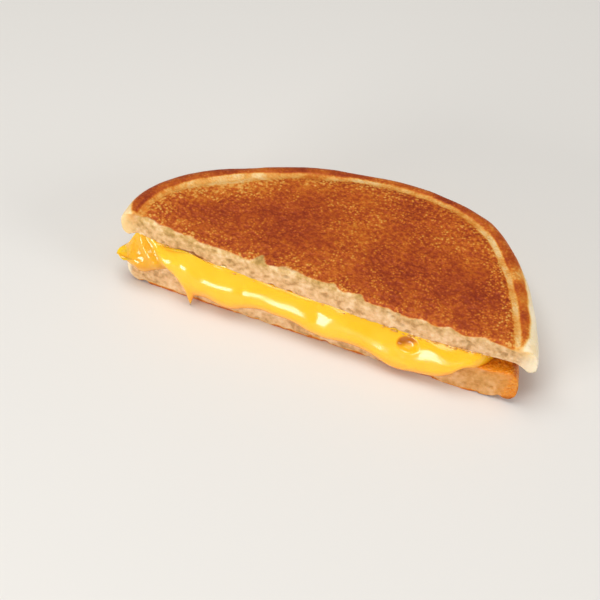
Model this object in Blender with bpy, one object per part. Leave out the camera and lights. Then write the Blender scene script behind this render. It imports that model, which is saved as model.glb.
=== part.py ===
"""Half of a grilled cheese sandwich, cut along its long axis.

Two pan-browned slices of a round loaf hold a thick layer of melted cheese, which bulges out of the cut
and hangs over the lower slice. Each slice and the cheese is one closed solid. Sizes are in millimetres
until a mesh is made. X runs along the cut, Y from the cut to the back crust and Z up; the lower slice
rests on Z = 0.
"""

from dataclasses import dataclass
from typing import Callable

import bmesh
import bpy
import numpy as np

MM = 0.001

# Plan of a slice: a half round whose deepest point lies right of its middle.
TOP_HALF_LENGTH = 75.0
TOP_MIDDLE = 0.5
TOP_DEPTH = 61.0
BASE_HALF_LENGTH = 71.8
BASE_MIDDLE = -0.6
BASE_DEPTH = 57.6
BASE_STEP = 1.5  # the lower slice was cut this far in front of the upper one
BACK_POWER = 1.16  # above 1, the crust leaves both tips a little slantwise
LEAN = -0.22  # the plan leans left near the cut
BACK_LEAN = 0.0068  # and right towards the back, more with each millimetre

# Heights.
STACK_HEIGHT = 26.0  # top of the browned face, right of the middle
LEFT_RISE = 5.8  # the thicker cheese lifts the upper slice towards its left end
RISE_START = -4.0
RISE_RUN = 96.0
WAVE = 0.6  # the browned face is this uneven
WAVE_MIDDLE = -3.0
WAVE_RUN = 13.0
TOP_UNDERSIDE = 17.6
TOP_DIP = (29.0, 20.0, 1.3)  # where the upper slice sags into the cheese: place, half width and depth
TOP_LIFT = (42.0, 18.0, 0.9)  # its crumb is thinner at the right end: start, run and height
BASE_UPPERSIDE = 9.6
BASE_LEFT = (-31.0, 25.0, 3.4)  # the lower slice is thicker at both ends: start, run and height
BASE_RIGHT = (36.0, 20.0, 2.4)

# Crust and browned faces.
RIM = 10.0  # width of the ring in which the face differs from the flat field
GROOVE_INSET = 7.2
GROOVE_WIDTH = 1.8
GROOVE_DEPTH = 0.8  # the ring that never touched the pan
PAN_ROLL = 5.0  # width over which the crust rolls away from a browned face
CRUMB_ROLL = 3.0  # the same on the cheese side
ROLL_SQUARENESS = 2.3
TOP_CRUST_LIP = (4.5, 4.0)  # the crust is deeper than the crumb on the cheese side: width and height
BASE_CRUST_LIP = (8.0, 2.2)
CUT_DROOP = (4.0, 0.6)  # the knife pressed the browned edge down: width and depth
TOP_WIDEST = 0.35  # height of the crust's widest line, as a share of its thickness
BASE_WIDEST = 0.6

# Cheese.
GAP = 0.35
CHEESE_INSET = 3.2  # from the lower slice's crust
CHEESE_LEFT = -75.0  # a film reaches past the lower slice's left end
CHEESE_RIGHT = 63.0
FILM_DEPTH = 7.0
FILM_LENGTH = 9.5
LIP_REACH = 3.5  # how far the cheese stands out of the cut where it doesn't hang
LIP_SWELL = 0.3  # further reach for each millimetre that it hangs
MOST_SWELLING_HANG = 8.0
LEAST_HANG = 0.2
TOP_START = 0.3  # the bulge starts this far inside the upper slice's cut
BULGE_WALL = 0.9  # thickness of the bulge where it lies on the lower slice's cut
BULGE_CROWN = 1.2  # the same under the upper slice
BULGE_FULLNESS = 0.8
BULGE_SAG = 0.92
LEAST_DEPTH = 2.5
# Where the cheese hangs over the cut of the lower slice: place along the cut, half width and drop.
LOBES = {
    "left film": (-67.0, 7.9, 5.7),
    "fold": (-47.0, 5.3, 5.8),
    "fold shoulder": (-34.7, 13.2, 5.4),
    "shallow stretch": (-15.0, 4.0, 1.2),
    "middle lobe": (-0.6, 9.5, 7.0),
    "middle shoulder": (14.4, 5.9, 1.8),
    "right lobe": (28.5, 11.4, 7.4),
    "right shoulder": (43.8, 6.5, 3.3),
}
THREAD = (-46.4, 1.7, 4.0)  # the drip that pulls down from the fold: place, half width and drop
HANG_END = 54.5  # right of here the cheese no longer hangs
HANG_FADE = 6.0
DRAW_BACK_RIGHT = (52.0, 12.0, 14.0)  # the front draws back under the upper slice: start, run and depth
DRAW_BACK_LEFT = (-69.0, 6.6, 7.0)
LEFT_ROUND = 6.5  # length over which the cheese thins to its left end
RIGHT_ROUND = 7.4
LEFT_END = 0.94  # how much of a quarter circle each end goes through before it is closed
RIGHT_END = 0.88

# Mesh fineness.
RAYS = 37
FIELD_ROWS = 8
RIM_ROWS = 5
ROLL_ROWS = 4
CHEESE_COLUMNS = 101
END_CROWDING = 0.4  # share of the columns' spacing that narrows towards both ends
BULGE_ROWS = 11
INNER_ROWS = (0.0, 0.3, 0.6, 0.78, 0.87, 0.94, 1.0)  # closer together near the back edge


def smooth(v):
    """Climbs from 0 to 1 as v does, level at both ends."""
    v = np.clip(v, 0.0, 1.0)
    return v * v * (3.0 - 2.0 * v)


def hump(v):
    """A rounded hump, 1 high at v = 0 and gone by v = 2."""
    return np.exp(-v * v)


def quarter_round(v):
    """The height of a quarter circle: 1 up to v = 0, and 0 from v = 1."""
    return np.sqrt(1.0 - np.clip(v, 0.0, 1.0) ** 2)


def rise(x):
    """Lift of the upper slice towards its left end."""
    return LEFT_RISE * smooth((RISE_START - x) / RISE_RUN)


@dataclass
class Plan:
    """A crust line seen from above: half the cut's length, the middle and Y of the cut, and the depth."""

    half_length: float
    middle: float
    front: float
    depth: float


@dataclass
class Slice:
    """A slice of bread: its plan, and for each face its height at a place and inset, and its crust's roll."""

    plan: Plan
    upper: Callable
    lower: Callable
    upper_roll: float
    lower_roll: float
    widest: float


def top_browned(x, y, inset):
    """Browned face of the upper slice: gently uneven, grooved inside the rim and pressed down at the cut."""
    wave = WAVE * np.cos((x - WAVE_MIDDLE) / WAVE_RUN) * np.cos(y / (2.0 * WAVE_RUN))
    groove = GROOVE_DEPTH * hump((inset - GROOVE_INSET) / GROOVE_WIDTH)
    width, depth = CUT_DROOP
    return STACK_HEIGHT + rise(x) + wave - groove - depth * np.exp(-y / width)


def top_crumb(x, y, inset):
    """Cheese side of the upper slice: lowest right of the middle, with a deeper crust."""
    place, half_width, depth = TOP_DIP
    start, run, height = TOP_LIFT
    crust_width, crust_height = TOP_CRUST_LIP
    level = TOP_UNDERSIDE + rise(x) - depth * hump((x - place) / half_width)
    return level + height * smooth((x - start) / run) - crust_height * hump(inset / crust_width)


def base_crumb(x, y, inset):
    """Cheese side of the lower slice: thicker at both ends and at its crust."""
    left, left_run, left_height = BASE_LEFT
    right, right_run, right_height = BASE_RIGHT
    crust_width, crust_height = BASE_CRUST_LIP
    ends = left_height * smooth((left - x) / left_run) + right_height * smooth((x - right) / right_run)
    return BASE_UPPERSIDE + ends + crust_height * hump(inset / crust_width)


def base_browned(x, y, inset):
    """Browned underside, flat where it lies, with the same groove as the upper face."""
    groove = GROOVE_DEPTH * hump((inset - GROOVE_INSET) / GROOVE_WIDTH)
    return np.where(inset > 0.999 * RIM, 0.0, groove)


TOP = Slice(
    Plan(TOP_HALF_LENGTH, TOP_MIDDLE, 0.0, TOP_DEPTH),
    top_browned, top_crumb, PAN_ROLL, CRUMB_ROLL, TOP_WIDEST,
)
BASE = Slice(
    Plan(BASE_HALF_LENGTH, BASE_MIDDLE, -BASE_STEP, BASE_DEPTH),
    base_crumb, base_browned, CRUMB_ROLL, PAN_ROLL, BASE_WIDEST,
)


def outline(t, plan):
    """Crust line in plan, from the right tip at t = 0 round the back to the left tip at t = pi.

    A half ellipse whose depth is a power of the sine, sheared to the left in proportion to the depth and
    to the right in proportion to its square.
    """
    y = plan.depth * np.abs(np.sin(t)) ** BACK_POWER
    x = plan.middle + plan.half_length * np.cos(t) + y * (LEAN + BACK_LEAN * y)
    return x, plan.front + y


def inset_at(x, y, plan):
    """How far a place lies inside the crust line, measured along its ray from the middle of the cut."""
    edge_x, edge_y = outline(np.linspace(0.0, np.pi, 721), plan)
    angle = np.arctan2(np.maximum(y - plan.front, 0.0), x)
    reach = np.interp(angle, np.arctan2(edge_y - plan.front, edge_x), np.hypot(edge_x, edge_y - plan.front))
    return reach - np.hypot(x, y - plan.front)


def along_rays(t, plan, inset):
    """Places at the given insets on the rays from the middle of the cut to the crust line."""
    edge_x, edge_y = outline(t, plan)
    reach = np.hypot(edge_x, edge_y - plan.front)
    share = 1.0 - inset / reach
    return share * edge_x, plan.front + share * (edge_y - plan.front)


def face_rows(t, plan, height, roll):
    """One face along every ray: rows from the middle of the cut out to where the crust starts to roll."""
    edge_x, edge_y = outline(t, plan)
    reach = np.hypot(edge_x, edge_y - plan.front)
    field = reach - np.linspace(0.0, 1.0, FIELD_ROWS)[:, None] * (reach - RIM)
    rim = np.broadcast_to(np.linspace(RIM, roll, RIM_ROWS)[1:, None], (RIM_ROWS - 1, len(t)))
    inset = np.vstack([field, rim])
    x, y = along_rays(t, plan, inset)
    return np.stack([x, y, height(x, y, inset)], axis=-1)


def roll_rows(t, plan, edge, widest, roll):
    """The crust's quarter turn from the end of a face (edge) out to its widest line, as a superellipse."""
    turn = np.linspace(0.0, np.pi / 2, ROLL_ROWS + 2)[1:-1, None]
    x, y = along_rays(t, plan, roll * (1.0 - np.sin(turn) ** (2.0 / ROLL_SQUARENESS)))
    z = widest + (edge - widest) * np.cos(turn) ** (2.0 / ROLL_SQUARENESS)
    return np.stack([x, y, z], axis=-1)


def slice_sections(bread):
    """Closed cross-sections of a slice, one for each ray from the middle of the cut to the crust."""
    t = np.linspace(0.0, np.pi, RAYS)
    upper = face_rows(t, bread.plan, bread.upper, bread.upper_roll)
    lower = face_rows(t, bread.plan, bread.lower, bread.lower_roll)
    upper_edge = upper[-1, :, 2]
    lower_edge = lower[-1, :, 2]
    widest = lower_edge + bread.widest * (upper_edge - lower_edge)
    edge_x, edge_y = outline(t, bread.plan)
    rows = np.concatenate([
        upper,
        roll_rows(t, bread.plan, upper_edge, widest, bread.upper_roll),
        np.stack([edge_x, edge_y, widest], axis=-1)[None],
        roll_rows(t, bread.plan, lower_edge, widest, bread.lower_roll)[::-1],
        lower[::-1],
    ])
    return rows.transpose(1, 0, 2)


def lip_hang(x):
    """How far the cheese hangs below the cheese side of the lower slice, along the cut."""
    hang = sum(drop * hump((x - place) / half_width) for place, half_width, drop in LOBES.values())
    place, half_width, drop = THREAD
    thread = drop * np.maximum(0.0, 1.0 - np.abs(x - place) / half_width) ** 1.5
    return LEAST_HANG + (hang + thread) * smooth((HANG_END - x) / HANG_FADE)


def lip_front(x):
    """Y of the cheese's front: out of the cut, and drawn back under the upper slice at both ends."""
    reach = LIP_REACH + LIP_SWELL * np.minimum(lip_hang(x), MOST_SWELLING_HANG)
    right, right_run, right_depth = DRAW_BACK_RIGHT
    left, left_run, left_depth = DRAW_BACK_LEFT
    from_right = right_depth * np.clip((x - right) / right_run, 0.0, 1.0) ** 2
    from_left = left_depth * np.clip((left - x) / left_run, 0.0, 1.0) ** 2.5
    return from_right + from_left - reach


def cheese_back(x):
    """Y of the cheese's back edge: inside the lower slice's crust, with a short film past its left end."""
    plan = Plan(BASE_HALF_LENGTH - CHEESE_INSET, BASE_MIDDLE, -BASE_STEP, BASE_DEPTH - CHEESE_INSET)
    edge_x, edge_y = outline(np.linspace(np.pi, 0.0, 721), plan)
    film = FILM_DEPTH * quarter_round(LEFT_END + (CHEESE_LEFT - x) / FILM_LENGTH)
    return np.maximum(np.interp(x, np.maximum.accumulate(edge_x), edge_y), film)


def cheese_sections():
    """Closed cross-sections of the cheese across the cut, from its left end to its right.

    Each section runs down the bulge outside the cut, in over the lower slice and out under the upper one.
    """
    span = np.linspace(-1.0, 1.0, CHEESE_COLUMNS)
    span = (1.0 - END_CROWDING) * span + END_CROWDING * np.sin(span * np.pi / 2)
    x = (CHEESE_LEFT + CHEESE_RIGHT) / 2 + (CHEESE_RIGHT - CHEESE_LEFT) / 2 * span
    back = cheese_back(x)
    front = np.minimum(lip_front(x), back - LEAST_DEPTH)
    crown = np.maximum(front + BULGE_CROWN, TOP_START)
    wall = np.maximum(front + BULGE_WALL, -BASE_STEP - GAP)

    inner = np.array(INNER_ROWS)[:, None]
    under_y = wall + (back - wall) * inner
    over_y = (crown + (back - crown) * inner)[::-1]
    column = np.broadcast_to(x, under_y.shape)
    under_z = base_crumb(column, under_y, np.maximum(inset_at(column, under_y, BASE.plan), 0.0)) + GAP
    over_z = top_crumb(column, over_y, inset_at(column, over_y, TOP.plan)) - GAP

    turn = np.linspace(0.0, np.pi, BULGE_ROWS + 1)[1:, None]
    fall = (1.0 - np.cos(turn)) / 2
    straight = crown + (wall - crown) * fall
    bulge_y = straight + (front - straight) * np.sin(turn) ** BULGE_FULLNESS
    bulge_z = over_z[-1] + (under_z[0] - lip_hang(x) - over_z[-1]) * fall**BULGE_SAG

    left_end = quarter_round(LEFT_END * (CHEESE_LEFT + LEFT_ROUND - x) / LEFT_ROUND)
    right_end = quarter_round(RIGHT_END * (x - CHEESE_RIGHT + RIGHT_ROUND) / RIGHT_ROUND)
    core = (under_z[0] + over_z[-1]) / 2
    y = np.concatenate([bulge_y, under_y, over_y])
    z = core + left_end * right_end * (np.concatenate([bulge_z, under_z, over_z]) - core)
    return np.stack([np.broadcast_to(x, y.shape), y, z], axis=-1).transpose(1, 0, 2)


def skin(name, sections, collection, material):
    """Joins closed sections, each with the same number of points, into one closed solid with flat ends."""
    points = sections.shape[1]
    bm = bmesh.new()
    rings = [[bm.verts.new(point) for point in section * MM] for section in sections]
    for here, there in zip(rings, rings[1:]):
        for k in range(points):
            after = (k + 1) % points
            bm.faces.new((here[k], here[after], there[after], there[k]))
    bm.faces.new(rings[0][::-1])
    bm.faces.new(rings[-1])
    bmesh.ops.remove_doubles(bm, verts=bm.verts, dist=1e-7)
    bmesh.ops.recalc_face_normals(bm, faces=bm.faces)
    mesh = bpy.data.meshes.new(name)
    bm.to_mesh(mesh)
    bm.free()
    mesh.shade_smooth()
    mesh.set_sharp_from_angle(angle=np.radians(50))
    mesh.materials.append(material)
    piece = bpy.data.objects.new(name, mesh)
    collection.objects.link(piece)
    return piece


def food_material(name, colour, roughness, subsurface):
    """A Principled material with a little light passing into the food."""
    material = bpy.data.materials.new(name)
    material.use_nodes = True
    shader = material.node_tree.nodes["Principled BSDF"]
    shader.inputs["Base Color"].default_value = (*colour, 1.0)
    shader.inputs["Roughness"].default_value = roughness
    shader.inputs["Metallic"].default_value = 0.0
    shader.inputs["Subsurface Weight"].default_value = subsurface
    material.diffuse_color = (*colour, 1.0)
    return material


def centre_over_origin(pieces):
    """Moves the pieces together so that the middle of the underside of their box is at the origin."""
    points = np.array([vertex.co for piece in pieces for vertex in piece.data.vertices])
    low = points.min(axis=0)
    high = points.max(axis=0)
    for piece in pieces:
        piece.location = (-(low[0] + high[0]) / 2, -(low[1] + high[1]) / 2, -low[2])


def main():
    for old in list(bpy.data.objects):
        bpy.data.objects.remove(old, do_unlink=True)
    sandwich = bpy.data.collections.new("grilled_cheese_sandwich")
    bpy.context.scene.collection.children.link(sandwich)
    browned_bread = food_material("pan_browned_bread", (0.42, 0.14, 0.035), 0.55, 0.0)
    crumb_bread = food_material("griddled_white_bread", (0.62, 0.36, 0.17), 0.75, 0.0)
    cheese = food_material("melted_cheese", (0.9, 0.42, 0.02), 0.22, 0.1)
    centre_over_origin([
        skin("bread_top", slice_sections(TOP), sandwich, browned_bread),
        skin("cheese", cheese_sections(), sandwich, cheese),
        skin("bread_bottom", slice_sections(BASE), sandwich, crumb_bread),
    ])


main()
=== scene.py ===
"""Looks of half a grilled cheese sandwich: two fried slices of bread and melted cheese between them.

Lengths are in millimetres until a mesh is made. The shapes are worked out in the cut's own frame: X
along the cut from the middle, Y from the upper slice's cut towards the back crust and Z up from the
table.
"""

from functools import partial
from math import cos, radians, sin

import bpy
import numpy as np
from mathutils import Matrix, Vector


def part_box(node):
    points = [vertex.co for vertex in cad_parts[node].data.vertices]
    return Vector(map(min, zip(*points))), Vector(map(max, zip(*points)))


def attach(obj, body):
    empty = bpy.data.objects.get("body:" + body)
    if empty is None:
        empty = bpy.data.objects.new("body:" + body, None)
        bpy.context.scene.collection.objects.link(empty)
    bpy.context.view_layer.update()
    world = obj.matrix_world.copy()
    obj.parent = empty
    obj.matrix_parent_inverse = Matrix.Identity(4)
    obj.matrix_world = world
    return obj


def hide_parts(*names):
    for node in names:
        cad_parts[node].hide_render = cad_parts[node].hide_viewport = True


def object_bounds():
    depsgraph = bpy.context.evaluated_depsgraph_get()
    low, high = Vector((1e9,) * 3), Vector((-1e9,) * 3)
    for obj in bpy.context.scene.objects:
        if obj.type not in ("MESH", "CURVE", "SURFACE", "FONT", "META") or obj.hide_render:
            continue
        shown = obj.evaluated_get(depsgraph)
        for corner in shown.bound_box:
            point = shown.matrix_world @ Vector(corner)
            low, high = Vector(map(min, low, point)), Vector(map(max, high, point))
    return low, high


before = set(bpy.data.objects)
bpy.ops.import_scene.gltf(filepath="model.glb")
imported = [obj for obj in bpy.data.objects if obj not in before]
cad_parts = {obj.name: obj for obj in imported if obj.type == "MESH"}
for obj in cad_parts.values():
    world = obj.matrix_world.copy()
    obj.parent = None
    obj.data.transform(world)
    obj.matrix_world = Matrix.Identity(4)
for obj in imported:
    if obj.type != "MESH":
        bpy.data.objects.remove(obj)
CAD_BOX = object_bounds()
MM = 0.001

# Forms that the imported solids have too.
TOP_HALF_LENGTH = 75.0
TOP_MIDDLE = 0.5
TOP_DEPTH = 61.0
BASE_HALF_LENGTH = 71.8
BASE_MIDDLE = -0.6
BASE_DEPTH = 57.6
BASE_STEP = 1.5
BACK_POWER = 1.16
LEAN = -0.22
BACK_LEAN = 0.0068
STACK_HEIGHT = 26.0
LEFT_RISE = 5.8
RISE_START = -4.0
RISE_RUN = 96.0
WAVE = 0.6
WAVE_MIDDLE = -3.0
WAVE_RUN = 13.0
TOP_UNDERSIDE = 17.6
TOP_DIP = (29.0, 20.0, 1.3)
TOP_LIFT = (42.0, 18.0, 0.9)
BASE_UPPERSIDE = 9.6
BASE_LEFT = (-31.0, 25.0, 3.4)
BASE_RIGHT = (36.0, 20.0, 2.4)
RIM = 10.0
GROOVE_INSET = 7.2
GROOVE_WIDTH = 1.8
GROOVE_DEPTH = 0.8
PAN_ROLL = 5.0
CRUMB_ROLL = 3.0
ROLL_SQUARENESS = 2.3
TOP_CRUST_LIP = (4.5, 4.0)
BASE_CRUST_LIP = (8.0, 2.2)
CUT_DROOP = (4.0, 0.6)
TOP_WIDEST = 0.35
BASE_WIDEST = 0.6
CHEESE_INSET = 3.2
CHEESE_LEFT = -75.0
CHEESE_RIGHT = 63.0
FILM_LENGTH = 9.5
LIP_REACH = 3.5
LIP_SWELL = 0.3
MOST_SWELLING_HANG = 8.0
LEAST_HANG = 0.2
TOP_START = 0.3
BULGE_WALL = 0.9
BULGE_CROWN = 1.2
LEAST_DEPTH = 2.5
HANG_END = 54.5
HANG_FADE = 6.0
DRAW_BACK_RIGHT = (52.0, 12.0, 14.0)
RIGHT_ROUND = 7.4
RIGHT_END = 0.88

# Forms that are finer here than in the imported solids.
CRUMB_SAG = (4.0, 0.8)  # near the cut the crumb sags onto the cheese, over what width and how far
CRUMB_SAG_END = (68.0, 10.0)  # how far along the cut the sag reaches either way, and its fade
FILM_DEPTH = 3.5  # how far behind the cut the film at the left reaches
DRAW_BACK_LEFT = (-70.0, 6.6, 3.5)
LEFT_ROUND = 8.0
LEFT_END = 0.9
# What hangs over the lower slice: place along the cut, half width and drop.
LOBES = {
    "left film": (-66.0, 7.9, 7.0),
    "fold": (-47.0, 5.3, 5.6),
    "fold shoulder": (-34.0, 11.5, 6.6),
    "shallow stretch": (-15.0, 6.0, 1.6),
    "middle lobe": (2.5, 12.0, 5.4),
    "middle shoulder": (15.4, 5.9, 1.0),
    "right lobe": (29.5, 11.4, 7.9),
    "right shoulder": (44.8, 8.0, 4.8),
}
THREAD = (-46.3, 1.9, 7.5)


def smooth(v):
    """Climbs from 0 to 1 as v does, level at both ends."""
    v = np.clip(v, 0.0, 1.0)
    return v * v * (3.0 - 2.0 * v)


def hump(v):
    """A rounded hump, 1 high at v = 0 and gone by v = 2."""
    return np.exp(-v * v)


def humps(v, rows):
    """The sum of humps along v, each given by its middle, its half width and its height."""
    return sum(height * hump((v - middle) / half) for middle, half, height in rows)


def quarter_round(v):
    """The height of a quarter circle: 1 up to v = 0, and 0 from v = 1."""
    return np.sqrt(1.0 - np.clip(v, 0.0, 1.0) ** 2)


def lattice(place, seed):
    """A fixed number from 0 to 1 for each whole-number place.

    Its three integers are mixed by multiplying and shifting.
    """
    i, j, k = (place[..., axis].astype(np.int64).astype(np.uint64) for axis in range(3))
    h = i * np.uint64(73856093) ^ j * np.uint64(19349663) ^ k * np.uint64(83492791)
    h ^= np.uint64(seed * 7919)
    h = (h ^ (h >> np.uint64(15))) * np.uint64(2246822519)
    h = (h ^ (h >> np.uint64(13))) * np.uint64(3266489917)
    return ((h >> np.uint64(20)) & np.uint64(0xFFFF)).astype(float) / 0xFFFF


def noise(points, size, seed, octaves=1):
    """Smooth unevenness from -1 to 1 with bumps about size across.

    Each octave blends the lattice numbers at a place's eight neighbours, and the next one is half as
    large and half as strong.
    """
    total = np.zeros(points.shape[:-1])
    for octave in range(octaves):
        scaled = points * (2.0**octave / size)
        cell = np.floor(scaled)
        t = scaled - cell
        t = t * t * (3.0 - 2.0 * t)
        value = 0.0
        for corner in np.ndindex(2, 2, 2):
            weight = np.prod(np.where(np.array(corner) == 1, t, 1.0 - t), axis=-1)
            value = value + weight * lattice(cell + corner, seed + octave)
        total += (2.0 * value - 1.0) * 0.5**octave
    return total


def cells(points, size, seed):
    """Finds the nearest of scattered points, of which each cube of the given size holds one.

    Gives its distance, in sizes, and its own fixed number from 0 to 1.
    """
    scaled = points / size
    home = np.floor(scaled)
    nearest = np.full(points.shape[:-1], 9.0)
    number = np.zeros_like(nearest)
    for step in np.ndindex(3, 3, 3):
        cell = home + (np.array(step) - 1)
        centre = cell + np.stack([lattice(cell, seed + axis) for axis in range(3)], axis=-1)
        distance = np.linalg.norm(scaled - centre, axis=-1)
        closer = distance < nearest
        nearest = np.where(closer, distance, nearest)
        number = np.where(closer, lattice(cell, seed + 3), number)
    return nearest, number


# ---------------------------------------------------------------- forms of the slices


def rise(x):
    """Lift of the upper slice towards its left end."""
    return LEFT_RISE * smooth((RISE_START - x) / RISE_RUN)


def outline(t, plan):
    """Crust line in plan: a half ellipse, its depth a power of the sine, leant left and then right."""
    half_length, middle, front, depth = plan
    y = depth * np.abs(np.sin(t)) ** BACK_POWER
    x = middle + half_length * np.cos(t) + y * (LEAN + BACK_LEAN * y)
    return x, front + y


def inset_at(x, y, plan):
    """How far a place lies inside the crust line, measured along its ray from the middle of the cut."""
    front = plan[2]
    edge_x, edge_y = outline(np.linspace(0.0, np.pi, 721), plan)
    angle = np.arctan2(np.maximum(y - front, 0.0), x)
    reach = np.interp(angle, np.arctan2(edge_y - front, edge_x), np.hypot(edge_x, edge_y - front))
    return reach - np.hypot(x, y - front)


# The height of each face is worked out from X, Y and the inset from the crust line.


def top_browned(x, y, inset):
    """Upper slice's browned face: gently uneven, grooved inside the rim and pressed down at the cut."""
    wave = WAVE * np.cos((x - WAVE_MIDDLE) / WAVE_RUN) * np.cos(y / (2.0 * WAVE_RUN))
    groove = GROOVE_DEPTH * hump((inset - GROOVE_INSET) / GROOVE_WIDTH)
    width, depth = CUT_DROOP
    return STACK_HEIGHT + rise(x) + wave - groove - depth * np.exp(-y / width)


def top_crumb(x, y, inset):
    """Cheese side of the upper slice: lowest right of the middle, with a deeper crust."""
    place, half_width, depth = TOP_DIP
    start, run, height = TOP_LIFT
    crust_width, crust_height = TOP_CRUST_LIP
    level = TOP_UNDERSIDE + rise(x) - depth * hump((x - place) / half_width)
    return level + height * smooth((x - start) / run) - crust_height * hump(inset / crust_width)


def sagging_crumb(x, y, inset):
    """Cheese side of the upper slice with its sag at the cut, which fades out towards both ends."""
    width, depth = CRUMB_SAG
    end, fade = CRUMB_SAG_END
    sag = depth * np.exp(-np.maximum(y, 0.0) / width) * smooth((end - np.abs(x)) / fade)
    return top_crumb(x, y, inset) - sag


def base_crumb(x, y, inset):
    """Cheese side of the lower slice: thicker at both ends and at its crust."""
    left, left_run, left_height = BASE_LEFT
    right, right_run, right_height = BASE_RIGHT
    crust_width, crust_height = BASE_CRUST_LIP
    ends = left_height * smooth((left - x) / left_run) + right_height * smooth((x - right) / right_run)
    return BASE_UPPERSIDE + ends + crust_height * hump(inset / crust_width)


def base_browned(x, y, inset):
    """Browned underside, flat where it lies, with the same groove as the upper face."""
    return GROOVE_DEPTH * hump((inset - GROOVE_INSET) / GROOVE_WIDTH) * (inset < RIM)


TOP_PLAN = (TOP_HALF_LENGTH, TOP_MIDDLE, 0.0, TOP_DEPTH)
BASE_PLAN = (BASE_HALF_LENGTH, BASE_MIDDLE, -BASE_STEP, BASE_DEPTH)

# The cut's frame within the part's: the upper slice's cut is its lowest Y, its right end its highest X.
top_low, top_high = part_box("bread_top")
CUT_FRAME = np.array([
    top_high.x / MM - outline(np.linspace(0.0, 1.0, 2001), TOP_PLAN)[0].max(),
    top_low.y / MM,
    0.0,
])


# ---------------------------------------------------------------- meshes


def quads(grid):
    """The four-cornered faces between neighbouring indices of a grid."""
    corners = (grid[:-1, :-1], grid[:-1, 1:], grid[1:, 1:], grid[1:, :-1])
    return np.stack([corner.ravel() for corner in corners], axis=-1)


def piece(name, points, faces, attributes, material, node=None, slot=None):
    """Makes a closed mesh from points in the cut's frame, and lets it ride on the one body.

    Each of the named fields becomes an attribute with one value for each point.
    """
    mesh = bpy.data.meshes.new(name)
    places = np.clip((points + CUT_FRAME) * MM, CAD_BOX[0], CAD_BOX[1])
    mesh.from_pydata(places, [], faces)
    for field, values in attributes.items():
        layer = mesh.attributes.new(field, "FLOAT", "POINT")
        layer.data.foreach_set("value", values.astype(np.float32))
    mesh.polygons.foreach_set("use_smooth", np.ones(len(mesh.polygons), bool))
    mesh.materials.append(material)
    mesh.validate()
    mesh.update()
    thing = bpy.data.objects.new(name, mesh)
    bpy.context.scene.collection.objects.link(thing)
    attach(thing, "root")
    if node:
        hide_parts(node)


ROW_CROWDING = 1.25


def half_disc(columns, rows):
    """Angle and share of the reach for a grid over the half disc.

    The grid's square, u from 1 to -1 along the cut and v from 0 to 1 towards the back, is pressed onto
    the half disc by X = u sqrt(1 - v v / 2), Y = v sqrt(1 - u u / 2). Its rows are closer near the cut.
    """
    u, v = np.meshgrid(np.linspace(1.0, -1.0, columns), np.linspace(0.0, 1.0, rows) ** ROW_CROWDING)
    x = u * np.sqrt(1.0 - v * v / 2.0)
    y = v * np.sqrt(1.0 - u * u / 2.0)
    return np.arctan2(y, x), np.minimum(np.hypot(x, y), 1.0)


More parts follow.
